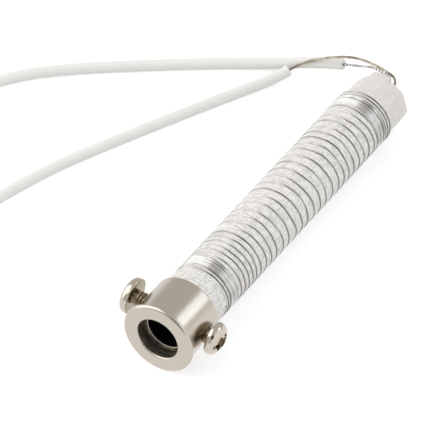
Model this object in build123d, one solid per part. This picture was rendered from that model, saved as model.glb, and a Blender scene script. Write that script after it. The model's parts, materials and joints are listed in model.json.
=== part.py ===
from build123d import *
import math
import os

# Heating element of a soldering iron, lying as it comes to rest. Millimetres.
# It is drawn along +Y with its front face at y = 0, then laid down with its origin on
# the surface under the middle of the rigid pieces. The front looks towards -Y.

# Collar
collar_length = 9.5
collar_radius = 6.2
flange_radius = 6.8
flange_length = 0.9
flange_chamfer = 0.25
rear_edge_chamfer = 0.25
tube_clearance = 0.08
mouth_chamfer = 0.3

# Clamp screws, both backed out part of the way
screw_station = 6.1
screw_roll = -5.5
shank_radius = 1.5
shank_length = 3.5
shank_end_chamfer = 0.25
thread_clearance = 0.03
head_radius = 2.9
head_height = 2.1
head_rim_height = 0.95
head_edge_chamfer = 0.15
cross_span = 3.2
cross_width = 0.9
cross_depth = 1.3
slot_width = 0.75
slot_depth = 0.7
right_screw_gap = 0.95
left_screw_gap = 2.05
right_recess_turn = 38
left_recess_turn = 12

# Tube that takes the tip
tube_inner_radius = 3.6
tube_wall = 0.27
tube_setback = 2.75
tube_tail = 0.4
screw_hole_clearance = 0.2

# Rolled layers round the tube, each a wall thickness, from the tube outwards
fit = 0.02
inner_mica_wall = 0.3
winding_wall = 0.28
cover_mica_wall = 0.27
mica_wrap_wall = 0.3
woven_wrap_wall = 0.42
body_length = 72.0
woven_wrap_tail = 5.0
winding_inset = 5.0
winding_tail = 6.0
tab_reach = 1.3
tab_start_angle = 72
tab_end_angle = 118
end_cut_slant = 1.0
mica_tail_sides = 9
mica_tail_radius = 5.5
mica_tail_turn = 6

# Binding wire, wound in one run from front to rear. The open turns are pairs: how far
# apart, and how many. A run's ends are let into the close bands. A turn is drawn in
# short straight lengths
binding_thickness = 0.24
turn_facets = 16
front_turns_start = 13.13
end_turns_pitch = 0.78
end_turns = 2.3
front_band_start = 14.5
front_band_length = 2.6
open_turns = [(1.24, 6), (1.72, 3), (2.02, 10), (1.66, 7), (1.0, 1)]
rear_band_length = 3.0
run_overlap = 0.2
run_inset = 0.01

# Leads: a bare wire each, six-sided as seven twisted strands are, with a sleeve over most
# of it that starts so far along the wire's runs. Radii are to the corners
wire_sides = 6
sleeve_sides = 10
wire_radius = 0.26
sleeve_radius = 1.0
sleeve_bore_radius = 0.4
lead_a_angle = 46
lead_b_angle = 60
wire_inset = 0.4
lead_a_straight = 2.4
lead_b_straight = 2.2
lead_a_sleeve_from = 33.7
lead_b_sleeve_from = 24.3
arc_share = 0.45
bare_end = 5.0

# Points of each lead past its straight way out of the body: x, y, and how far the
# underside of a sleeve there is above the surface
lead_a_points = [
    (-1.9, 39.4, 7.9),
    (-7.7, 40.2, 6.9),
    (-13.7, 40.4, 3.6),
    (-17.4, 38.7, 2.0),
    (-20.3, 34.3, 0.1),
    (-25.3, 25.5, 0),
    (-38.4, 0.0, 0),
    (-42.6, -10.2, 0),
    (-49.0, -32.0, 0),
    (-47.8, -54.6, 0),
]
lead_b_points = [
    (-2.5, 38.5, 8.1),
    (-5.8, 39.8, 6.4),
    (-8.3, 41.7, 3.1),
    (-15.0, 40.7, 1.0),
    (-23.3, 37.2, 0),
    (-34.4, 30.2, 0),
    (-55.3, 15.2, 0),
    (-62.0, 6.9, 0),
    (-66.9, -2.9, 0),
    (-70.6, -22.5, 0),
    (-69.6, -35.2, 0),
]


# Sizes worked out from the ones above
tube_outer_radius = tube_inner_radius + tube_wall
bore_radius = tube_outer_radius + tube_clearance
inner_mica_radius = tube_outer_radius + fit
winding_radius = inner_mica_radius + inner_mica_wall
cover_mica_radius = winding_radius + winding_wall
mica_wrap_radius = cover_mica_radius + cover_mica_wall
woven_wrap_radius = mica_wrap_radius + mica_wrap_wall
binding_radius = woven_wrap_radius + woven_wrap_wall
body_start = collar_length
body_end = body_start + body_length - collar_length
woven_wrap_end = body_end - woven_wrap_tail
winding_end = body_end - winding_tail

band_radius = (binding_radius + fit) / math.cos(math.pi / turn_facets)
turns_radius = (binding_radius + fit + run_inset) / math.cos(math.pi / turn_facets)
turns_thickness = binding_thickness - 2 * run_inset

open_start = front_band_start + front_band_length - run_overlap
open_length = sum(pitch * turns for pitch, turns in open_turns)
rear_band_start = open_start + open_length - run_overlap
rear_turns_start = rear_band_start + rear_band_length - run_overlap
binding_end = rear_turns_start + end_turns_pitch * end_turns

# The flange and the last turns touch the surface, so the rear lies a little lower
flange_contact = flange_length - flange_chamfer
radius_drop = flange_radius - turns_radius - turns_thickness
rest_tilt = math.degrees(math.atan2(radius_drop, binding_end - flange_contact))
axis_height = flange_radius * math.cos(math.radians(rest_tilt))
axis_height += flange_contact * math.sin(math.radians(rest_tilt))
right_reach = collar_radius + right_screw_gap + head_height
left_reach = collar_radius + left_screw_gap + head_height
axis_x = (left_reach - right_reach) / 2 * math.cos(math.radians(screw_roll))
front_y = -(body_end + tab_reach) / 2
laid_down = Pos(axis_x, front_y, axis_height) * Rot(X=-rest_tilt)


def along(y):
    """Plane across the axis at y, with its own X along +X and its normal along +Y."""
    return Plane(origin=(0, y, 0), x_dir=(1, 0, 0), z_dir=(0, 1, 0))


def ring(inner, outer, start, end):
    """Round tube about the axis."""
    section = Circle(outer) - Circle(inner)
    return extrude(along(start) * section, end - start)


def sector(radius, start, end, from_angle, to_angle):
    """Wedge about the axis, between two angles measured from +X towards +Z."""
    reach = radius / math.cos(math.radians((to_angle - from_angle) / 2))
    corners = [(0, 0)]
    for angle in (from_angle, (from_angle + to_angle) / 2, to_angle):
        turn = math.radians(angle)
        corners.append((reach * math.cos(turn), -reach * math.sin(turn)))
    return extrude(along(start) * make_face(Polyline(*corners, close=True)), end - start)


def radial_place(side):
    """Frame on the screw axis, with Z pointing out of the collar: side is 1 right, -1 left."""
    return Pos(0, screw_station, 0) * Rot(Y=-screw_roll) * Rot(Y=90 * side)


def radial_hole(side, radius):
    """Cutter on the screw axis, from the middle out through the collar."""
    align = (Align.CENTER, Align.CENTER, Align.MIN)
    return radial_place(side) * Cylinder(radius, flange_radius, align=align)


def make_collar():
    """Turned ring with a thin front flange, a chamfered mouth and two tapped holes."""
    outline = Polyline(
        (bore_radius + mouth_chamfer, 0),
        (flange_radius, 0),
        (flange_radius, flange_length),
        (collar_radius, flange_length),
        (collar_radius, collar_length),
        (bore_radius, collar_length),
        (bore_radius, mouth_chamfer),
        close=True,
    )
    section = make_face(outline)
    flange_edges = section.vertices().group_by(Axis.X)[-1]
    section = chamfer(flange_edges, flange_chamfer)
    rear_edge = section.vertices().group_by(Axis.Y)[-1].sort_by(Axis.X)[-1]
    section = chamfer(rear_edge, rear_edge_chamfer)
    body = revolve(section, Axis.Y)
    for side in (1, -1):
        body -= radial_hole(side, shank_radius + thread_clearance)
    return body


def make_screw(side, gap, recess_turn):
    """Pan-head screw with a cross recess and a slot, its head a gap away from the collar."""
    rim = (head_radius, head_rim_height)
    crown = (0, head_height)
    outline = (
        Polyline(
            crown,
            (0, -shank_length),
            (shank_radius - shank_end_chamfer, -shank_length),
            (shank_radius, shank_end_chamfer - shank_length),
            (shank_radius, 0),
            (head_radius - head_edge_chamfer, 0),
            (head_radius, head_edge_chamfer),
            rim,
        )
        + TangentArc(crown, rim, tangent=(1, 0))
    )
    screw = revolve(Plane.XZ * make_face(outline), Axis.Z)
    top = Pos(0, 0, head_height)
    cross = Box(cross_span, cross_width, 2 * cross_depth) + Box(cross_width, cross_span, 2 * cross_depth)
    slot = Rot(Z=45) * Box(3 * head_radius, slot_width, 2 * slot_depth)
    screw -= Rot(Z=recess_turn) * top * (cross + slot)
    return radial_place(side) * Pos(0, 0, collar_radius + gap) * screw


def make_tube():
    """Thin steel tube, let into the collar, with holes where the screws reach the tip."""
    tube = ring(tube_inner_radius, tube_outer_radius, tube_setback, body_end - tube_tail)
    for side in (1, -1):
        tube -= radial_hole(side, shank_radius + screw_hole_clearance)
    return tube


def lead_groove(angle):
    """Way through the cover mica for one lead, from the winding to the open end."""
    depth = cover_mica_wall + winding_wall + fit
    start = winding_end
    groove = Box(2 * wire_radius + 2 * fit, body_end + tab_reach - start, depth)
    height = winding_radius + depth / 2
    return Rot(Y=90 - angle) * Pos(0, start + (body_end + tab_reach - start) / 2, height) * groove


def make_cover_mica():
    """Mica over the winding, with a tab that sticks out past the end beside the leads."""
    inner = cover_mica_radius + fit
    outer = mica_wrap_radius
    sheet = ring(inner, outer, body_start, body_end)
    tab = ring(inner, outer, body_end, body_end + tab_reach)
    tab &= sector(2 * outer, body_end, body_end + tab_reach, tab_start_angle, tab_end_angle)
    sheet += tab
    for angle in (lead_a_angle, lead_b_angle):
        sheet -= lead_groove(angle)
    return sheet


def make_mica_wrap():
    """Plain mica roll. Behind the binding it is creased into flats and cut a little askew."""
    inner = mica_wrap_radius + fit
    roll = ring(inner, woven_wrap_radius, body_start, body_end)
    tail = RegularPolygon(mica_tail_radius, mica_tail_sides, rotation=mica_tail_turn)
    tail_start = woven_wrap_end + fit
    tail_length = body_end + end_cut_slant - tail_start
    roll += extrude(along(tail_start) * (tail - Circle(inner)), tail_length)
    slant = math.degrees(math.atan2(end_cut_slant / 2, woven_wrap_radius))
    cutter_size = 4 * woven_wrap_radius
    cutter = Pos(0, body_end, 0) * Rot(Z=slant) * Box(
        cutter_size, cutter_size, cutter_size, align=(Align.CENTER, Align.MIN, Align.CENTER)
    )
    return roll - cutter


def make_turns(start, runs):
    """Wire wound on from start, drawn three-sided so that its many turns stay light."""
    profile = Polyline(
        (turns_radius, -turns_thickness / 2),
        (turns_radius, turns_thickness / 2),
        (turns_radius + turns_thickness, 0),
        close=True,
    )
    sections = [Pos(0, start, 0) * profile]
    angle = 0
    for pitch, turns in runs:
        for _ in range(round(turns * turn_facets)):
            start += pitch / turn_facets
            angle += 360 / turn_facets
            sections.append(Pos(0, start, 0) * Rot(Y=angle) * profile)
    return Solid.make_loft([section.wire() for section in sections], ruled=True)


def make_band(start, length):
    """Close turns, which touch each other, drawn as one band."""
    section = RegularPolygon(band_radius + binding_thickness, turn_facets)
    section -= RegularPolygon(band_radius, turn_facets)
    return extrude(along(start) * section, length)


def make_binding():
    """Binding wire: two turns, a close band, open turns, a close band and two turns."""
    wire = make_band(front_band_start, front_band_length)
    wire += make_band(rear_band_start, rear_band_length)
    wire += make_turns(front_turns_start, [(end_turns_pitch, end_turns)])
    wire += make_turns(open_start, open_turns)
    wire += make_turns(rear_turns_start, [(end_turns_pitch, end_turns)])
    return wire


def lead_route(angle, straight, points):
    """Corners of a lead's path, from inside the body to its bare end."""
    height = winding_radius + fit + wire_radius
    turn = math.radians(angle)
    across, up = height * math.cos(turn), height * math.sin(turn)
    route = [
        (laid_down * Pos(across, winding_end + wire_inset, up)).position,
        (laid_down * Pos(across, body_end + straight, up)).position,
    ]
    route += [Vector(x, y, lift + sleeve_radius) for x, y, lift in points]
    return route


def arc_radii(route):
    """Radius of the arc at each inner corner, as large as its two runs allow."""
    radii = []
    for before, corner, after in zip(route, route[1:], route[2:]):
        turn = math.radians((corner - before).get_angle(after - corner))
        shorter = min((corner - before).length, (after - corner).length)
        radii.append(arc_share * shorter / math.tan(turn / 2))
    return radii


def sweep_along(section, route, radii):
    """Section swept along straight runs joined by tangent arcs, and the path's length."""
    path = FilletPolyline(*route, radius=radii)
    swept = sweep(Plane(origin=path @ 0, z_dir=path % 0) * section, path)
    return swept, path.length


def part_way(route, distance):
    """Run of a route that holds the point so far along it, and the point."""
    for run, (before, after) in enumerate(zip(route, route[1:])):
        length = (after - before).length
        if distance < length:
            break
        distance -= length
    return run, before + (after - before) * (distance / length)


def make_lead(name, angle, straight, points, sleeve_from):
    """One lead's wire, and the sleeve that covers it but for both ends."""
    route = lead_route(angle, straight, points)
    radii = arc_radii(route)
    wire_section = RegularPolygon(wire_radius, wire_sides)
    wire, wire_length = sweep_along(wire_section, route, radii)
    run, sleeve_start = part_way(route, sleeve_from)
    sleeve_route = [sleeve_start] + route[run + 1 : -1]
    sleeve_route.append(route[-1] + (route[-2] - route[-1]).normalized() * bare_end)
    sleeve_section = RegularPolygon(sleeve_radius, sleeve_sides)
    sleeve_section -= RegularPolygon(sleeve_bore_radius, wire_sides)
    sleeve, sleeve_length = sweep_along(sleeve_section, sleeve_route, radii[run:])
    wire_ratio = wire.volume / (wire_section.area * wire_length)
    sleeve_ratio = sleeve.volume / (sleeve_section.area * sleeve_length)
    print(name, "wire", round(wire_length, 1), "volume ratio", round(wire_ratio, 4))
    print(name, "sleeve", round(sleeve_length, 1), "volume ratio", round(sleeve_ratio, 4))
    print(name, "radii", [round(radius, 1) for radius in radii], "sleeve from corner", run + 1)
    print(name, "exit", [round(v, 2) for v in tuple(route[1])])
    return {f"lead_wire_{name}": wire, f"lead_sleeve_{name}": sleeve}


def main():
    os.makedirs("parts", exist_ok=True)
    pieces = {
        "collar": make_collar(),
        "clamp_screw_right": make_screw(1, right_screw_gap, right_recess_turn),
        "clamp_screw_left": make_screw(-1, left_screw_gap, left_recess_turn),
        "tip_tube": make_tube(),
        "inner_mica": ring(inner_mica_radius, winding_radius, body_start, body_end),
        "heater_winding": ring(
            winding_radius + fit, cover_mica_radius, body_start + winding_inset, winding_end
        ),
        "cover_mica": make_cover_mica(),
        "mica_wrap": make_mica_wrap(),
        "woven_wrap": ring(woven_wrap_radius + fit, binding_radius, body_start, woven_wrap_end),
        "binding_wire": make_binding(),
    }
    placed_pieces = {name: laid_down * piece for name, piece in pieces.items()}
    placed_pieces |= make_lead(
        "a", lead_a_angle, lead_a_straight, lead_a_points, lead_a_sleeve_from
    )
    placed_pieces |= make_lead(
        "b", lead_b_angle, lead_b_straight, lead_b_points, lead_b_sleeve_from
    )
    for name, placed in placed_pieces.items():
        placed.label = name
        export_step(placed, f"parts/{name}.step")
        print(name, round(placed.volume, 2))


main()
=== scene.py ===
import json
import math

import bmesh
import bpy
from mathutils import Matrix, Vector, noise


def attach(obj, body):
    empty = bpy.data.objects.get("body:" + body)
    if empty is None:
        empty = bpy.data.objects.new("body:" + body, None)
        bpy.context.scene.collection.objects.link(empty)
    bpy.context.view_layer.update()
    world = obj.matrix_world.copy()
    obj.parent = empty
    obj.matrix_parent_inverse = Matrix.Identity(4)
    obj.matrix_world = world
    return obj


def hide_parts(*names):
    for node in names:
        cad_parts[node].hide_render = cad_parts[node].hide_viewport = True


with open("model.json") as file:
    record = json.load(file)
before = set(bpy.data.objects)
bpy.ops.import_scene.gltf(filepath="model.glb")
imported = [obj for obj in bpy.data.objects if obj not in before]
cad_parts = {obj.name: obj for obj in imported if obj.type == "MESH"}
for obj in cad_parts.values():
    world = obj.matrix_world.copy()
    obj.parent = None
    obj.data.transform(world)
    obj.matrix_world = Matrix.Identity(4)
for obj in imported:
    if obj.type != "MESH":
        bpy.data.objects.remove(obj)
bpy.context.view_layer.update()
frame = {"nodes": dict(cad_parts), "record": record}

# Heating element of a soldering iron. Its pieces are drawn in millimetres in a frame of
# their own, x across, y back along the axis from the front face and z up, and then
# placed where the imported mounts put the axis.
MM = 0.001
TURN = 2 * math.pi
ALONG = Vector((0, 1, 0))
UP = Vector((0, 0, 1))

# Sizes in millimetres, as in the CAD source
COLLAR_LENGTH = 9.5
COLLAR_RADIUS = 6.2
COLLAR_BORE = 3.95
FLANGE_RADIUS = 6.8
FLANGE_LENGTH = 0.9
SCREW_STATION = 6.1
SCREW_ROLL = math.radians(-5.5)
SHANK_RADIUS = 1.5
SHANK_LENGTH = 3.5
THREAD_CLEARANCE = 0.03
HEAD_RADIUS = 2.9
HEAD_HEIGHT = 2.1
HEAD_RIM = 0.95
RIGHT_GAP = 0.95
LEFT_GAP = 2.05
TUBE_INNER = 3.6
TUBE_OUTER = 3.87
TUBE_START = 2.75
TUBE_END = 71.6
TUBE_HOLE_CLEARANCE = 0.2
BODY_END = 72.0
WOVEN_END = 67.0
WOVEN_INNER = 5.06
WOVEN_RADIUS = 5.46
MICA_INNER = 4.76
MICA_RADIUS = 5.04
TAIL_RADIUS = 5.5
TAIL_SIDES = 9
TAIL_TURN = math.radians(-6)
BINDING_RADIUS = 0.13
WIRE_RADIUS = 0.26
SLEEVE_RADIUS = 1.0
BARE_END = 5.0

# Binding wire from front to rear: where it starts, each run's pitch and its turns, and
# from where to where it is close
BINDING_START = 13.13
BINDING_RUNS = [
    (0.72, 1.9),
    (0.294, 8.2),
    (1.24, 6),
    (1.72, 3),
    (2.02, 10),
    (1.66, 7),
    (1.0, 1),
    (0.299, 8.8),
    (0.7, 2.3),
]
BINDING_TURNS = sum(count for _, count in BINDING_RUNS)
CLOSE_BANDS = [(14.6, 17.1), (62.2, 64.9)]

# Sizes in millimetres of what the scene alone has. Roundings go by a profile's corners.
COLLAR_ROUNDINGS = {0: 0.36, 1: 0.56, 2: 0.3, 3: 0.12, 4: 0.25}
LEFT_HEAD_RADIUS = HEAD_RADIUS + 0.4
HEAD_ROUNDINGS = {1: 0.5, 2: 0.5, 3: 0.35, 4: 0.15}
CROSS_ARM = (3.7, 1.5, 2.6)
CROSS_TAPER = 0.7
SLOT = (8, 0.9, 1.1)
THREAD_PITCH = 0.6
THREAD_ROOT = SHANK_RADIUS - 0.3
THREAD_TOP = 0.06
TUBE_ROUNDINGS = {0: 0.1, 1: 0.1}
WIRE_FLATNESS = 0.7
DENT_WIDTH = 0.17
DENT_DEPTH = 0.08
TAPE_BULGE = 0.02
TAPE_GRAIN = 0.018
OPEN_PITCH = 0.9
SHEET = 0.1
SHEET_RECESS = 0.35
PULLED_SIDE = math.radians(150)
SLEEVE_ROUNDING = 0.16

# How far apart a lead's points are in millimetres, and how many steps make a turn
STEP = 0.25
WIND_STEPS = 48
THREAD_STEPS = 40

# Colours of each finish: a pair is blended by a mask, from its 0 to its 1
COLLAR_PLATE = ((0.64, 0.585, 0.515, 1), (0.6, 0.545, 0.475, 1))
COLLAR_BORED = ((0.05, 0.042, 0.034, 1), (0.7, 0.64, 0.55, 1))
SCREW_PLATE = ((0.7, 0.64, 0.56, 1), (0.58, 0.52, 0.44, 1))
# Dark bronze of a screw's recess and thread, which is also their painted shade
SCREW_BRONZE_AND_SHADE = ((0.46, 0.39, 0.29, 1), (0.26, 0.21, 0.14, 1))
TUBE_SCALE = ((0.012, 0.012, 0.012, 1), (0.03, 0.028, 0.026, 1))
TUBE_RIM = (0.75, 0.71, 0.64, 1)
MICA_SHEETS = ((0.72, 0.685, 0.66, 1), (0.81, 0.78, 0.755, 1))
TAPE_THREADS = ((0.62, 0.61, 0.585, 1), (0.96, 0.95, 0.935, 1))
# Grey of rub marks and painted shade on the tape next to the binding wire
TAPE_RUBBED_AND_SHADED = (0.3, 0.285, 0.255, 1)
SLEEVE_STRANDS = ((0.87, 0.865, 0.84, 1), (0.93, 0.925, 0.91, 1))
# Binding wire's colours; the dark end is also painted shade on its flanks and right side
BINDING_STEEL_AND_SHADE = ((0.26, 0.255, 0.235, 1), (0.86, 0.86, 0.835, 1))
# Lead wires' colours; the dark end also paints shade where the strands cross
LEAD_A_METAL = ((0.52, 0.48, 0.41, 1), (0.3, 0.265, 0.21, 1))
LEAD_B_METAL = ((0.78, 0.77, 0.74, 1), (0.2, 0.19, 0.16, 1))
WHITE = (1, 1, 1, 1)
FLOOR_SEEN = (0.83, 0.85, 0.88, 1)
FLOOR_LIT = (0.8, 0.8, 0.8, 1)
STUDIO_GREY = (0.62, 0.6, 0.575, 1)
FLAG_CLOTH = (0.02, 0.02, 0.02, 1)

# The photograph's direction in degrees, round from the element's front and up, and what
# frames its picture: the point at its middle and the camera's distance in metres
VIEW = (32.258, 43.532)
AIM = Vector((-0.009545, -0.00244, 0.003))
CAMERA_DISTANCE = 1.2
PIXELS_PER_MM = 5.8276
PICTURE_WIDTH = 430


def find_element():
    """The element's frame in metres, from the mounts in model.json."""
    mounts = {mount["name"]: mount for mount in frame["record"]["mounts"]}
    bore = Vector(mounts["tip_bore"]["pos_m"])
    face = Vector(mounts["front_face"]["pos_m"])
    axis = -Vector(mounts["tip_bore"]["axis"]).normalized()
    across = Vector((1, 0, 0))
    front = bore + axis * (face - bore).dot(axis)
    turned = Matrix((across, axis, across.cross(axis))).transposed()
    return Matrix.LocRotScale(front, turned, (MM, MM, MM))


ELEMENT = find_element()


class Value:
    """One output of a shader node. Arithmetic on it adds Math nodes."""

    def __init__(self, finish, socket):
        self.finish = finish
        self.socket = socket

    def __add__(self, other):
        return self.finish.math("ADD", self, other)

    def __sub__(self, other):
        return self.finish.math("SUBTRACT", self, other)

    def __rsub__(self, other):
        return self.finish.math("SUBTRACT", other, self)

    def __mul__(self, other):
        return self.finish.math("MULTIPLY", self, other)

    __radd__ = __add__
    __rmul__ = __mul__


class Finish:
    """A material, with the helpers that wire its nodes."""

    def __init__(self, name, **surface):
        self.material = bpy.data.materials.new(name)
        self.material.use_nodes = True
        self.tree = self.material.node_tree
        self.surface = self.tree.nodes["Principled BSDF"]
        self.set(**surface)

    def set(self, **surface):
        for key, value in surface.items():
            self.feed(self.surface.inputs[key.replace("_", " ").title()], value)

    def feed(self, socket, value):
        if isinstance(value, Value):
            self.tree.links.new(value.socket, socket)
        else:
            socket.default_value = value

    def node(self, kind, inputs, output=0, stops=(), **settings):
        """Adds a node: first its settings and a ramp's stops, then what its sockets get."""
        made = self.tree.nodes.new(kind)
        for setting, value in settings.items():
            setattr(made, setting, value)
        if stops:
            ramp = made.color_ramp.elements
            while len(ramp) < len(stops):
                ramp.new(0.5)
            for element, (position, shade) in zip(ramp, stops):
                element.position = position
                element.color = (shade, shade, shade, 1)
        for key, value in inputs.items():
            self.feed(made.inputs[key], value)
        return Value(self, made.outputs[output])

    def math(self, operation, *values):
        return self.node("ShaderNodeMath", dict(enumerate(values)), operation=operation)

    def sine(self, value):
        return self.math("SINE", value)

    def below(self, value, limit):
        """1 where a value is under a limit, else 0."""
        return self.math("LESS_THAN", value, limit)

    def blend(self, mask, low, high):
        """Colour that goes from low to high with the mask. Its sockets are 6 and 7."""
        sockets = {0: mask, 6: low, 7: high}
        return self.node("ShaderNodeMix", sockets, output=2, data_type="RGBA")

    def spread(self, value, low, high):
        """Value from 0 to 1, moved to run from low to high."""
        return value * (high - low) + low

    def ramp(self, value, *stops):
        return self.node("ShaderNodeValToRGB", {0: value}, stops=stops)

    def noise(self, place, scale, detail):
        sockets = {"Vector": place, "Scale": scale, "Detail": detail}
        return self.node("ShaderNodeTexNoise", sockets, output="Fac")

    def bump(self, height, distance):
        """Relief of a height from 0 to 1 over a distance in millimetres."""
        sockets = {"Strength": 1.0, "Distance": distance * MM, "Height": height}
        return self.node("ShaderNodeBump", sockets)

    def attribute(self, name, output="Vector"):
        return self.node("ShaderNodeAttribute", {}, output=output, attribute_name=name)

    def split(self, vector):
        made = self.node("ShaderNodeSeparateXYZ", {0: vector})
        return [Value(self, made.socket.node.outputs[letter]) for letter in "XYZ"]

    def on_element(self, place=ELEMENT):
        """Millimetres in the element's own frame, or in another given one."""
        position, rotation, _ = place.decompose()
        sockets = {
            "Vector": self.node("ShaderNodeTexCoord", {}, output="Object"),
            "Location": position,
            "Rotation": rotation.to_euler(),
            "Scale": (MM, MM, MM),
        }
        return self.node("ShaderNodeMapping", sockets, vector_type="TEXTURE")

    def stretched(self, place, x, y, z):
        sockets = {0: place, 1: (x, y, z)}
        return self.node("ShaderNodeVectorMath", sockets, operation="MULTIPLY")


def make_collar_nickel():
    """Nickel plate on turned steel: fine rings, faint dull patches and a dark bore."""
    nickel = Finish("collar_nickel", metallic=1.0)
    spot = nickel.on_element()
    x, _, z = nickel.split(spot)
    radius = nickel.math("SQRT", x * x + z * z)
    inside = nickel.below(radius, COLLAR_BORE + 0.02)
    dull = nickel.noise(spot, 0.35, 3)
    rings = nickel.noise(nickel.stretched(spot, 0.4, 9, 0.4), 1.1, 4)
    face_rings = nickel.sine(radius * 34 + dull * 3)
    cuts = nickel.ramp(rings * 0.8 + nickel.noise(spot, 1.6, 3) * 0.2, (0.4, 0), (0.6, 1))
    plate = nickel.blend(dull, *COLLAR_PLATE)
    bored = nickel.blend(cuts, *COLLAR_BORED)
    nickel.set(
        base_color=nickel.blend(inside, plate, bored),
        roughness=nickel.spread(dull, 0.2, 0.3) + inside * 0.15,
        normal=nickel.bump(rings + face_rings * 0.12, 0.008),
    )
    return nickel.material


def make_screw_nickel(name, place):
    """Bright nickel on a screw's head, and dark bronze in its recess and on its thread,
    painted as their shade.
    """
    nickel = Finish(name, metallic=1.0)
    spot = nickel.on_element(place)
    x, y, z = nickel.split(spot)
    square = x * x + y * y
    sunk = nickel.below(z + square * 0.07, HEAD_HEIGHT - 0.2)
    recess = sunk * nickel.below(square, 5.0)
    thread = nickel.below(z, 0.02)
    patches = nickel.noise(spot, 1.2, 4)
    plate = nickel.blend(patches, *SCREW_PLATE)
    bronze_and_shade = nickel.blend(patches, *SCREW_BRONZE_AND_SHADE)
    nickel.set(
        # Painted shade: the recess and the thread under the head take the dark bronze
        base_color=nickel.blend(nickel.math("MAXIMUM", recess, thread), plate, bronze_and_shade),
        roughness=nickel.spread(patches, 0.1, 0.2),
    )
    return nickel.material


def make_tube_steel():
    """Steel tube: bright at its front rim, dark with heat scale inside."""
    steel = Finish("tube_steel", metallic=0.9)
    spot = steel.on_element()
    _, y, _ = steel.split(spot)
    scale = steel.noise(spot, 2.5, 5)
    rim = steel.below(y, TUBE_START + 0.14)
    steel.set(
        base_color=steel.blend(rim, steel.blend(scale, *TUBE_SCALE), TUBE_RIM),
        roughness=steel.spread(scale, 0.45, 0.65),
        normal=steel.bump(scale, 0.02),
    )
    return steel.material


def make_mica():
    """White mica sheet: flaky, a little pearly, with faint streaks along the roll."""
    mica = Finish("mica", roughness=0.5, coat_weight=0.1)
    spot = mica.on_element()
    flakes = mica.noise(mica.stretched(spot, 1, 0.35, 1), 1.1, 6)
    streaks = mica.noise(mica.stretched(spot, 1, 9, 1), 0.5, 3)
    mask = mica.ramp(flakes * 0.5 + streaks * 0.5, (0.35, 0), (0.65, 1))
    mica.set(
        base_color=mica.blend(mask, *MICA_SHEETS),
        normal=mica.bump(flakes * 0.5 + streaks, 0.03),
    )
    return mica.material


def make_woven_glass():
    """Woven glass tape, threads round the body and along it, with rub marks and painted
    shade by the wire.
    """
    cloth = Finish("woven_glass", roughness=0.62, coat_weight=0.06)
    spot = cloth.on_element()
    x, y, z = cloth.split(spot)
    angle = cloth.math("ARCTAN2", z, x)
    wander = cloth.noise(spot, 0.6, 2)
    round_threads = cloth.sine(y * (TURN / 0.42) + wander * 6)
    long_threads = cloth.sine(angle * 78 + wander * 8)
    weave = round_threads * long_threads
    across = cloth.noise(cloth.stretched(spot, 0.5, 2.8, 0.5), 1.6, 3)
    along = cloth.noise(cloth.stretched(spot, 2.8, 0.5, 2.8), 1.5, 3)
    grain = across + along - 0.5
    light = cloth.ramp(weave * 0.1 + long_threads * 0.05 + grain, (0.28, 0), (0.62, 1))
    # Rub marks and painted shade: the tape goes grey next to each turn of the wire
    rubbed_and_shaded = cloth.attribute("near", "Fac") * cloth.spread(grain, 0.3, 0.9)
    cloth.set(
        base_color=cloth.blend(rubbed_and_shaded, cloth.blend(light, *TAPE_THREADS), TAPE_RUBBED_AND_SHADED),
        normal=cloth.bump(weave * 0.4 + grain * 2, 0.05),
    )
    return cloth.material


def make_sleeve_glass():
    """Soft white braided sleeve, its strands crossing both ways round it."""
    sleeve = Finish("sleeve_glass", roughness=0.6)
    side, height, step = sleeve.split(sleeve.attribute("round"))
    angle = sleeve.math("ARCTAN2", height, side)
    one_way = sleeve.sine(angle * 12 + step * STEP * 9)
    other_way = sleeve.sine(angle * 12 - step * STEP * 9)
    braid = one_way * other_way
    patches = sleeve.noise(sleeve.on_element(), 0.3, 4)
    sleeve.set(
        base_color=sleeve.blend(patches + braid * 0.08, *SLEEVE_STRANDS),
        normal=sleeve.bump(braid, 0.02),
    )
    return sleeve.material


def make_binding_steel():
    """Drawn wire with bright crowns, each turn a little other than the next.

    Its flanks are painted darker as shade from its neighbours and the tape, and its
    right side is painted darker too, on the open turns more than on the close bands.
    """
    wire = Finish("binding_metal", metallic=1.0)
    side, _, step = wire.split(wire.attribute("round"))
    each = wire.noise(step * (1.7 / WIND_STEPS), 1.0, 1)
    spot = wire.on_element()
    wear = wire.noise(spot, 0.6, 3)
    x, y, _ = wire.split(spot)
    close = [
        wire.math("GREATER_THAN", y, start) * wire.below(y, end)
        for start, end in CLOSE_BANDS
    ]
    apart = 1 - close[0] - close[1]
    # Painted shade: the wire is darker on its right side, the open turns more so
    right_edge_shade = wire.ramp(x * (1 / WOVEN_RADIUS), (0.82, 0), (0.99, 1))
    right_half_shade = wire.ramp(x * (1 / WOVEN_RADIUS), (0.1, 0), (0.5, 1))
    # Painted shade on the flanks and under the wire; each turn's tone and the wear are its
    # own
    tone_and_shade = side * 0.15 + each * 0.9 + wear * 0.3 + 0.04
    tone_and_shade -= apart * 0.08 + apart * right_half_shade * 0.17 + right_edge_shade * 0.16
    crown = wire.ramp(tone_and_shade, (0.48, 0), (0.8, 1))
    wire.set(
        base_color=wire.blend(crown, *BINDING_STEEL_AND_SHADE),
        roughness=wire.spread(wear, 0.16, 0.26),
    )
    return wire.material


def make_lead_metal(name, metal, lay, shade_spots):
    """Nickel wire of a lead, brownish with heat, with painted shade where its strands
    cross.
    """
    wire = Finish(name, metallic=1.0)
    _, _, step = wire.split(wire.attribute("round"))
    patches = wire.noise(wire.on_element(), 1.5, 4)
    # Painted shade in dots along the wire, where its strands cross
    crossing_shade = wire.sine(step * (STEP * TURN / lay))
    mask = wire.ramp(patches + crossing_shade * shade_spots, (0.4, 0), (0.75, 1))
    wire.set(
        base_color=wire.blend(mask, *metal),
        roughness=wire.spread(patches, 0.25, 0.4),
    )
    return wire.material


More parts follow.
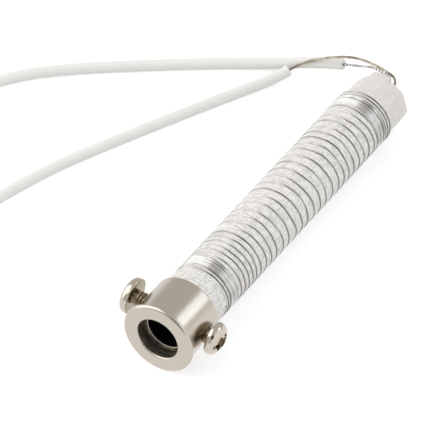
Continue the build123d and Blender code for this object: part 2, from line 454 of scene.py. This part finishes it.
def make_floor_finish():
    """White floor that takes a close shadow, and that metal reflects as plain white."""
    floor = Finish("floor")
    floor.tree.nodes.remove(floor.surface)

    def ray(kind):
        return floor.node("ShaderNodeLightPath", {}, output=kind)

    def matt(colour):
        return floor.node("ShaderNodeBsdfDiffuse", {"Color": colour})

    def glow(strength):
        return floor.node("ShaderNodeEmission", {"Color": WHITE, "Strength": strength})

    def mix(mask, low, high):
        return floor.node("ShaderNodeMixShader", {0: mask, 1: low, 2: high})

    mirrored = floor.math("MAXIMUM", ray("Is Glossy Ray"), ray("Is Transmission Ray"))
    seen = floor.node("ShaderNodeAddShader", {0: matt(FLOOR_SEEN), 1: glow(0.46)})
    lit = mix(ray("Is Camera Ray"), matt(FLOOR_LIT), seen)
    surface = floor.tree.nodes["Material Output"].inputs["Surface"]
    floor.feed(surface, mix(mirrored, lit, glow(1.0)))
    return floor.material


def add_object(name, data):
    """Adds an object to the scene, at the origin and unturned."""
    made = bpy.data.objects.new(name, data)
    bpy.context.scene.collection.objects.link(made)
    return made


def end_mesh(name, bm):
    """Gives a bmesh's mesh and frees the bmesh."""
    mesh = bpy.data.meshes.new(name)
    bm.to_mesh(mesh)
    bm.free()
    return mesh


def placed_mesh(name, bm, place=ELEMENT):
    """Ends a bmesh in millimetres: welds it, turns its faces outwards and places it."""
    bmesh.ops.remove_doubles(bm, verts=bm.verts, dist=1e-5)
    bmesh.ops.recalc_face_normals(bm, faces=bm.faces)
    bm.transform(place)
    return end_mesh(name, bm)


def add_piece(name, mesh, material, node, crease=40):
    """Adds a mesh that is already in its place as the piece for a node of the solids."""
    mesh.shade_smooth()
    mesh.set_sharp_from_angle(angle=math.radians(crease))
    mesh.materials.clear()
    mesh.materials.append(material)
    piece = add_object(name, mesh)
    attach(piece, "root")
    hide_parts(node)
    return piece


def chain(bm, points, closed=False):
    """Edges through points. Gives the vertices and the edges."""
    verts = [bm.verts.new(point) for point in points]
    pairs = list(zip(verts, verts[1:]))
    if closed:
        pairs.append((verts[-1], verts[0]))
    return verts, [bm.edges.new(pair) for pair in pairs]


def spin_round(bm, about, steps):
    """Revolves all that a bmesh holds once round an axis."""
    bmesh.ops.spin(
        bm,
        geom=list(bm.verts) + list(bm.edges),
        cent=(0, 0, 0),
        axis=about,
        angle=TURN,
        steps=steps,
        use_merge=True,
    )


def turn_profile(profile, roundings, about, steps):
    """Revolves an outline of (radius, along) points, its corners rounded first."""
    bm = bmesh.new()
    side = Vector((1, 0, 0))
    verts, _ = chain(bm, [side * radius + about * along for radius, along in profile], True)
    for corner, offset in roundings.items():
        bmesh.ops.bevel(
            bm,
            geom=[verts[corner]],
            offset=offset,
            offset_type="OFFSET",
            segments=4,
            profile=0.5,
            affect="VERTICES",
            material=-1,
        )
    spin_round(bm, about, steps)
    return bm


def cut_away(mesh, cutters):
    """Mesh less the cutters' meshes."""
    body = add_object("cut", mesh)
    tools = [add_object("cutter", cutter) for cutter in cutters]
    for tool in tools:
        modifier = body.modifiers.new("cut", "BOOLEAN")
        modifier.operation = "DIFFERENCE"
        modifier.solver = "EXACT"
        modifier.object = tool
    left = bpy.data.meshes.new_from_object(
        body.evaluated_get(bpy.context.evaluated_depsgraph_get())
    )
    for used in [body, *tools]:
        bpy.data.objects.remove(used)
    return left


def screw_place(side, gap):
    """Frame of a clamp screw in metres: z out of the collar, and 0 under its head."""
    station = Matrix.Translation((0, SCREW_STATION, 0))
    roll = Matrix.Rotation(-SCREW_ROLL, 4, "Y")
    out = Matrix.Rotation(side * TURN / 4, 4, "Y")
    return ELEMENT @ station @ roll @ out @ Matrix.Translation((0, 0, COLLAR_RADIUS + gap))


def box_cutter(size, place, taper=1.0):
    """Cutter for a recess, narrower at its bottom by the taper."""
    bm = bmesh.new()
    bmesh.ops.create_cube(bm, size=1, matrix=Matrix.Diagonal((*size, 1)))
    low = [vert for vert in bm.verts if vert.co.z < 0]
    bmesh.ops.scale(bm, vec=(taper, taper, 1), verts=low)
    return placed_mesh("cutter", bm, place)


def drills(radius):
    """Cutters on both screws' axes, long enough to pass through one wall of the collar."""
    cutters = []
    for side in (1, -1):
        bm = bmesh.new()
        bmesh.ops.create_cone(
            bm, cap_ends=True, segments=48, radius1=radius, radius2=radius, depth=6
        )
        cutters.append(placed_mesh("drill", bm, screw_place(side, 0)))
    return cutters


def make_collar(material):
    """Turned collar with a rounded front flange and its two tapped holes."""
    profile = [
        (COLLAR_BORE, 0),
        (FLANGE_RADIUS, 0),
        (FLANGE_RADIUS, FLANGE_LENGTH),
        (COLLAR_RADIUS, FLANGE_LENGTH),
        (COLLAR_RADIUS, COLLAR_LENGTH),
        (COLLAR_BORE, COLLAR_LENGTH),
    ]
    bm = turn_profile(profile, COLLAR_ROUNDINGS, ALONG, steps=128)
    collar = placed_mesh("collar_turned", bm)
    mesh = cut_away(collar, drills(SHANK_RADIUS + THREAD_CLEARANCE))
    add_piece("collar_turned", mesh, material, "collar", crease=35)


def make_screw_head(name, place, radius, recess_turn):
    """Domed head of a screw, with a cross recess and a slot halfway between its arms."""
    profile = [
        (0, HEAD_HEIGHT),
        (radius * 0.52, HEAD_HEIGHT - 0.14),
        (radius * 0.84, HEAD_HEIGHT - 0.55),
        (radius, HEAD_RIM),
        (radius, 0),
        (0, 0),
    ]
    head = placed_mesh(name, turn_profile(profile, HEAD_ROUNDINGS, UP, steps=72), place)
    top = place @ Matrix.Rotation(math.radians(recess_turn), 4, "Z")
    top = top @ Matrix.Translation((0, 0, HEAD_HEIGHT))
    cutters = [
        box_cutter(CROSS_ARM, top, CROSS_TAPER),
        box_cutter(CROSS_ARM, top @ Matrix.Rotation(TURN / 4, 4, "Z"), CROSS_TAPER),
        box_cutter(SLOT, top @ Matrix.Rotation(TURN / 8, 4, "Z")),
    ]
    return cut_away(head, cutters)


def add_thread(bm):
    """Adds a rolled thread under a screw's head, closed at both ends, over a core."""
    ridge = [(THREAD_ROOT, 0), (SHANK_RADIUS, 0.4), (SHANK_RADIUS, 0.6), (THREAD_ROOT, 1)]
    points = [(radius, 0, THREAD_TOP - THREAD_PITCH * part) for radius, part in ridge]
    _, edges = chain(bm, points)
    turns = int((SHANK_LENGTH - 0.2) / THREAD_PITCH)
    bmesh.ops.spin(
        bm,
        geom=edges,
        cent=(0, 0, 0),
        axis=UP,
        dvec=(0, 0, -THREAD_PITCH / THREAD_STEPS),
        angle=TURN * turns,
        steps=THREAD_STEPS * turns,
        use_merge=False,
    )
    bmesh.ops.remove_doubles(bm, verts=bm.verts, dist=1e-5)
    ends = [edge for edge in bm.edges if edge.is_boundary]
    bmesh.ops.holes_fill(bm, edges=ends, sides=len(ends))
    bmesh.ops.create_cone(
        bm,
        cap_ends=True,
        segments=32,
        radius1=THREAD_ROOT * 0.8,
        radius2=THREAD_ROOT,
        depth=SHANK_LENGTH,
        matrix=Matrix.Translation((0, 0, -SHANK_LENGTH / 2)),
    )


def make_screw(hand, side, gap, head_radius, recess_turn):
    """Pan-head clamp screw, backed out of the collar by a gap under its head."""
    name = f"screw_{hand}"
    place = screw_place(side, gap)
    material = make_screw_nickel(f"{name}_nickel", place)
    bm = bmesh.new()
    bm.from_mesh(make_screw_head(name, place, head_radius, recess_turn))
    bm.transform(place.inverted())
    add_thread(bm)
    mesh = placed_mesh(name, bm, place)
    add_piece(name, mesh, material, f"clamp_screw_{hand}", crease=30)


def wind(turns_in=None, station_in=None):
    """Place in the winding after so many turns or at a station: turns, station, pitch."""
    turns, station = 0.0, BINDING_START
    for pitch, count in BINDING_RUNS:
        if turns_in is None:
            more = (station_in - station) / pitch
        else:
            more = turns_in - turns
        if more <= count:
            break
        turns += count
        station += pitch * count
    else:
        more -= count
    return turns + more, station + pitch * more, pitch


def waver(angle, station, pitch):
    """How far a hand-wound turn strays along the body."""
    spot = Vector((math.cos(angle) * 1.3, station * 0.55, math.sin(angle) * 1.3))
    return noise.noise(spot) * 0.2 * max(pitch - 0.3, 0)


def make_binding(material):
    """Thin steel wire wound round the body by hand, close at both ends.

    Pulled tight, it lies half in the tape and a little flat.
    """
    frames = []
    for i in range(round(WIND_STEPS * BINDING_TURNS) + 1):
        turns, station, pitch = wind(turns_in=i / WIND_STEPS)
        angle = -TURN * turns
        out = Vector((math.cos(angle), 0, math.sin(angle)))
        ahead = Vector((math.sin(angle), 0, -math.cos(angle)))
        axes = (out * WIRE_FLATNESS, ahead.cross(out), ahead)
        turned = Matrix(axes).transposed().to_4x4()
        stray = Vector((0, station + waver(angle, station, pitch), 0))
        frames.append(Matrix.Translation(out * WOVEN_RADIUS + stray) @ turned)
    mesh = placed_mesh("binding_wound", roll_tube(frames, BINDING_RADIUS, sides=10))
    add_piece("binding_wound", mesh, material, "binding_wire")


def press_tape(bm):
    """Presses a dent under each turn of the wire, and marks how near it each vertex is."""
    near = bm.verts.layers.float.new("near")
    for vert in bm.verts:
        angle = math.atan2(vert.co.z, vert.co.x)
        station = vert.co.y
        _, _, pitch = wind(station_in=station)
        turns, _, _ = wind(station_in=station - waver(angle, station, pitch))
        part = (turns + angle / TURN) % 1
        away = min(part, 1 - part) * pitch
        wound = 0 <= turns <= BINDING_TURNS + 0.2
        vert[near] = math.exp(-((away / DENT_WIDTH) ** 2)) * wound
        grain = noise.noise(Vector((angle * 9, station * 2.4, 3))) * TAPE_GRAIN
        fullness = 1 - DENT_DEPTH * vert[near] / WOVEN_RADIUS + grain / WOVEN_RADIUS
        if wound and pitch > OPEN_PITCH:
            fullness += TAPE_BULGE * math.sin(math.pi * part) / WOVEN_RADIUS
        vert.co.x *= fullness
        vert.co.z *= fullness


def make_woven_wrap(material):
    """Woven glass tape, pulled in under each turn and full between the open ones."""
    rows = 490
    length = WOVEN_END - COLLAR_LENGTH
    stations = [COLLAR_LENGTH + length * i / rows for i in range(rows + 1)]
    bm = bmesh.new()
    chain(bm, [(WOVEN_RADIUS, station, 0) for station in stations])
    spin_round(bm, ALONG, steps=100)
    press_tape(bm)
    mesh = placed_mesh("woven_tape", bm)
    tape = add_piece("woven_tape", mesh, material, "woven_wrap", crease=80)
    wall = tape.modifiers.new("wall", "SOLIDIFY")
    wall.thickness = (WOVEN_RADIUS - WOVEN_INNER) * MM
    wall.offset = -1


def crease_tail(bm):
    """Creases the roll into flats behind the tape, less full on one side, and frays it."""
    facet = TURN / TAIL_SIDES
    flat = TAIL_RADIUS * math.cos(facet / 2)
    for vert in bm.verts:
        radius = math.hypot(vert.co.x, vert.co.z)
        angle = math.atan2(vert.co.z, vert.co.x)
        if vert.co.y > WOVEN_END + 0.01:
            off = (angle - TAIL_TURN) % facet - facet / 2
            number = math.floor(((angle - TAIL_TURN) % TURN) / facet)
            creased = min(flat / math.cos(off), TAIL_RADIUS * 0.985)
            creased += 0.09 * noise.noise(Vector((number * 3.1, vert.co.y * 0.12, 0)))
            creased -= 0.4 * max(math.cos(angle - PULLED_SIDE), 0)
            spread = (radius - MICA_INNER) / (MICA_RADIUS - MICA_INNER)
            wanted = MICA_INNER + (creased - MICA_INNER) * max(spread, 0)
            vert.co.x *= wanted / radius
            vert.co.z *= wanted / radius
        if vert.co.y > BODY_END - 1:
            ragged = noise.noise(Vector((math.cos(angle) * 2.2, 5, math.sin(angle) * 2.2)))
            vert.co.y += 0.4 * math.cos(angle + 0.4) + 0.3 * ragged


def make_mica_roll(material):
    """Mica rolled in three sheets, whose edges show as steps at the rear."""
    recess = BODY_END - SHEET_RECESS
    outline = [(MICA_INNER, COLLAR_LENGTH), (MICA_INNER, BODY_END - 0.1)]
    for sheet in (1, 2):
        edge = MICA_INNER + SHEET * sheet
        outline += [(edge - 0.01, BODY_END), (edge - 0.005, recess)]
        outline += [(edge + 0.005, recess), (edge + 0.01, BODY_END - 0.08)]
    outline += [(MICA_RADIUS, BODY_END)]
    outline += [(MICA_RADIUS, BODY_END - 0.5 * i) for i in range(1, 10)]
    outline += [(MICA_RADIUS, WOVEN_END + 0.05), (MICA_RADIUS - 0.03, WOVEN_END)]
    outline += [(MICA_RADIUS - 0.03, COLLAR_LENGTH)]
    bm = turn_profile(outline, {}, ALONG, steps=14 * TAIL_SIDES)
    crease_tail(bm)
    mesh = placed_mesh("mica_roll", bm)
    add_piece("mica_roll", mesh, material, "mica_wrap", crease=50)


def make_tube(material):
    """Thin tube for the tip, its front rim rounded, with a hole at each clamp screw."""
    outline = [
        (TUBE_INNER, TUBE_START),
        (TUBE_OUTER, TUBE_START),
        (TUBE_OUTER, TUBE_END),
        (TUBE_INNER, TUBE_END),
    ]
    bm = turn_profile(outline, TUBE_ROUNDINGS, ALONG, steps=96)
    tube = placed_mesh("tip_tube_turned", bm)
    mesh = cut_away(tube, drills(SHANK_RADIUS + TUBE_HOLE_CLEARANCE))
    add_piece("tip_tube_turned", mesh, material, "tip_tube", crease=35)


def under_mica(angle, along):
    """Point in metres between the roll and the mica inside it, where the leads lie."""
    radius, turn = 4.47, math.radians(angle)
    return ELEMENT @ Vector((radius * math.cos(turn), along, radius * math.sin(turn)))


# Route of each lead in metres: its start inside the body, the corner past its way out,
# and then the points of the CAD source, three of which are moved a little on lead b
LEAD_A = [
    under_mica(46, 66.4),
    under_mica(46, 74.4),
    (-0.0019, 0.0394, 0.0089),
    (-0.0077, 0.0402, 0.0079),
    (-0.0137, 0.0404, 0.0046),
    (-0.0174, 0.0387, 0.0030),
    (-0.0203, 0.0343, 0.0011),
    (-0.0253, 0.0255, 0.0010),
    (-0.0384, 0.0, 0.0010),
    (-0.0426, -0.0102, 0.0010),
    (-0.0490, -0.0320, 0.0010),
    (-0.0478, -0.0546, 0.0010),
]
LEAD_B = [
    under_mica(60, 66.4),
    under_mica(60, 74.2),
    (-0.0025, 0.0385, 0.0091),
    (-0.0058, 0.0398, 0.0068),
    (-0.0083, 0.0417, 0.0043),
    (-0.0150, 0.0407, 0.0026),
    (-0.0233, 0.0372, 0.0010),
    (-0.0344, 0.0302, 0.0010),
    (-0.0553, 0.0152, 0.0010),
    (-0.0620, 0.0069, 0.0010),
    (-0.0669, -0.0029, 0.0010),
    (-0.0706, -0.0225, 0.0010),
    (-0.0696, -0.0352, 0.0010),
]


def follow(route):
    """Points in millimetres along a lead's smooth line, a step apart."""
    curve = bpy.data.curves.new("route", "CURVE")
    curve.dimensions = "3D"
    curve.resolution_u = 24
    spline = curve.splines.new("NURBS")
    spline.points.add(len(route) - 1)
    for point, place in zip(spline.points, route):
        point.co = (*place, 1)
    spline.order_u = 3
    spline.use_endpoint_u = True
    drawn = bpy.data.objects.new("route", curve)
    line = bpy.data.meshes.new_from_object(drawn)
    bpy.data.objects.remove(drawn)
    return respace([vert.co / MM for vert in line.vertices])


def respace(points):
    """The same line with points a step apart."""
    lengths = [(after - before).length for before, after in zip(points, points[1:])]
    total = sum(lengths)
    count = round(total / STEP)
    spaced, run, i = [points[0]], 0.0, 0
    for k in range(1, count):
        target = total * k / count
        while run + lengths[i] < target:
            run += lengths[i]
            i += 1
        spaced.append(points[i].lerp(points[i + 1], (target - run) / lengths[i]))
    return spaced + [points[-1]]


def frames_along(points):
    """A frame at each point, its z along the line, turned as little as can be."""
    frames = []
    side = UP
    for i, point in enumerate(points):
        ahead = points[min(i + 1, len(points) - 1)] - points[max(i - 1, 0)]
        ahead.normalize()
        side = (side - ahead * side.dot(ahead)).normalized()
        turned = Matrix((side, ahead.cross(side), ahead)).transposed().to_4x4()
        frames.append(Matrix.Translation(point) @ turned)
    return frames


def roll_tube(frames, radius, sides):
    """Grid rolled into a closed tube, marked with its place round it and along it."""
    bm = bmesh.new()
    last = len(frames) - 1
    bmesh.ops.create_grid(bm, x_segments=sides, y_segments=last, size=0.5)
    mark = bm.verts.layers.float_vector.new("round")
    for vert in bm.verts:
        turn = TURN * (vert.co.x + 0.5)
        step = round((vert.co.y + 0.5) * last)
        side, height = math.cos(turn), math.sin(turn)
        vert.co = frames[step] @ Vector((side * radius, height * radius, 0))
        vert[mark] = (side, height, step)
    bmesh.ops.remove_doubles(bm, verts=bm.verts, dist=radius * 0.01)
    rims = [edge for edge in bm.edges if edge.is_boundary]
    bmesh.ops.holes_fill(bm, edges=rims, sides=sides)
    return bm


def make_sleeve(letter, points, starts, ends, material):
    """Braided sleeve along part of a lead, its ends' edges rounded."""
    first, last = round(starts / STEP), round(ends / STEP)
    name = f"sleeve_{letter}"
    bm = roll_tube(frames_along(points[first:last]), SLEEVE_RADIUS, sides=24)
    mesh = placed_mesh(name, bm, Matrix.Scale(MM, 4))
    sleeve = add_piece(name, mesh, material, f"lead_{name}")
    rim = sleeve.modifiers.new("rim", "BEVEL")
    rim.width = SLEEVE_ROUNDING * MM
    rim.segments = 3
    return sleeve


def twist_strands(name, points, twist):
    """Seven strands as one mesh, six of them twisted round the middle one."""
    strand = WIRE_RADIUS / 3
    frames = frames_along(points)
    joined = bmesh.new()
    for k in range(7):
        wound = []
        for i, place in enumerate(frames):
            angle = TURN * (k / 6 + i * STEP / twist)
            off = Vector((math.cos(angle), math.sin(angle), 0)) * 2 * strand * (k < 6)
            wound.append(place @ off)
        bm = roll_tube(frames_along(wound), strand, sides=6)
        mesh = placed_mesh("strand", bm, Matrix.Scale(MM, 4))
        joined.from_mesh(mesh)
        bpy.data.meshes.remove(mesh)
    return end_mesh(name, joined)


def make_lead(letter, route, sleeve_from, cover, metal, twist):
    """One lead: twisted strands, with a sleeve over most of them and a bare end."""
    points = follow(route)
    length = STEP * (len(points) - 1)
    sleeve = make_sleeve(letter, points, sleeve_from, length - BARE_END, cover)
    name = f"strands_{letter}"
    mesh = twist_strands(name, points, twist)
    wire = add_piece(name, mesh, metal, f"lead_wire_{letter}")
    tuple(points[0] * MM)
    [tuple(point * MM) for point in points]


def seen_from(azimuth, elevation):
    """Direction to what stands so far round from the element's front, and so high."""
    azimuth, elevation = math.radians(azimuth), math.radians(elevation)
    flat = Vector((math.sin(azimuth), -math.cos(azimuth), 0)) * math.cos(elevation)
    return flat + Vector((0, 0, math.sin(elevation)))


def look_out(out):
    """Turns an object's back to a direction, with its own Y along the element."""
    side = ALONG.cross(out).normalized()
    return Matrix((side, out.cross(side), out)).transposed().to_4x4()


def add_camera():
    """Long lens from the photograph's direction, looking down from the front right."""
    back = seen_from(*VIEW)
    lens = bpy.data.cameras.new("camera")
    lens.sensor_width = 36
    lens.lens = lens.sensor_width * PIXELS_PER_MM * CAMERA_DISTANCE / MM / PICTURE_WIDTH
    lens.clip_start, lens.clip_end = 0.1, 20
    camera = add_object("camera", lens)
    camera.location = AIM + back * CAMERA_DISTANCE
    camera.rotation_euler = back.to_track_quat("Z", "Y").to_euler()
    bpy.context.scene.camera = camera


def add_floor():
    """White floor, eight metres across."""
    bm = bmesh.new()
    bmesh.ops.create_grid(bm, x_segments=1, y_segments=1, size=4)
    mesh = end_mesh("floor", bm)
    mesh.materials.append(make_floor_finish())
    floor = add_object("floor", mesh)


def add_world():
    """Plain grey room, which fills the shadows."""
    world = bpy.data.worlds.new("studio")
    bpy.context.scene.world = world
    world.use_nodes = True
    world.node_tree.nodes["Background"].inputs["Color"].default_value = STUDIO_GREY


def add_lamp(name, angle, along, size, radiance, tint=(1, 1, 1)):
    """Soft box a metre away, at an angle round the element's axis and so far along it."""
    lamp = bpy.data.lights.new(name, "AREA")
    lamp.shape = "RECTANGLE"
    lamp.size, lamp.size_y = size
    lamp.energy = radiance * math.pi * size[0] * size[1]
    lamp.color = tint
    box = add_object(name, lamp)
    turn = math.radians(angle)
    spread = math.sqrt(1 - along * along)
    out = Vector((spread * math.cos(turn), along, spread * math.sin(turn)))
    box.matrix_world = Matrix.Translation(out) @ look_out(out)
    box.visible_camera = False


def add_flag(name, out, radius):
    """Dark round board a metre away, which gives the metal something dark to mirror."""
    bm = bmesh.new()
    bmesh.ops.create_circle(bm, cap_ends=True, segments=48, radius=radius)
    bm.transform(Matrix.Translation(out) @ look_out(out))
    mesh = end_mesh(name, bm)
    mesh.materials.append(
        Finish(f"{name}_cloth", base_color=FLAG_CLOTH, roughness=1.0).material
    )
    flag = add_object(name, mesh)
    flag.visible_camera = flag.visible_diffuse = flag.visible_shadow = False


bpy.context.scene.view_settings.view_transform = "Standard"
add_camera()
add_floor()
add_world()
add_lamp("left_box", 146, -0.3, (1.9, 1.1), 1.35)
add_lamp("right_box", 22, 0.0, (0.9, 2.0), 0.45)
add_lamp("right_strip", 43, 0.61, (0.48, 0.4), 2.0, (0.76, 0.88, 1))
add_flag("camera_flag", seen_from(*VIEW), 0.3)
add_flag("side_flag", seen_from(56, 26), 0.24)

sleeve_glass = make_sleeve_glass()
tube_steel = make_tube_steel()
mica = make_mica()
lead_a_metal = make_lead_metal("lead_metal_a", LEAD_A_METAL, lay=3.0, shade_spots=0.1)
lead_b_metal = make_lead_metal("lead_metal_b", LEAD_B_METAL, lay=0.7, shade_spots=0.3)

make_lead("a", LEAD_A, 32.2, sleeve_glass, lead_a_metal, twist=3.5)
make_lead("b", LEAD_B, 21.9, sleeve_glass, lead_b_metal, twist=2.4)
make_collar(make_collar_nickel())
make_screw("right", 1, RIGHT_GAP, HEAD_RADIUS, recess_turn=38)
make_screw("left", -1, LEFT_GAP, LEFT_HEAD_RADIUS, recess_turn=12)
make_tube(tube_steel)
make_mica_roll(mica)
make_woven_wrap(make_woven_glass())
make_binding(make_binding_steel())

# The layers inside keep the solids' own meshes
inner_finishes = {"inner_mica": mica, "cover_mica": mica, "heater_winding": tube_steel}
for node, material in inner_finishes.items():
    materials = frame["nodes"][node].data.materials
    materials.clear()
    materials.append(material)
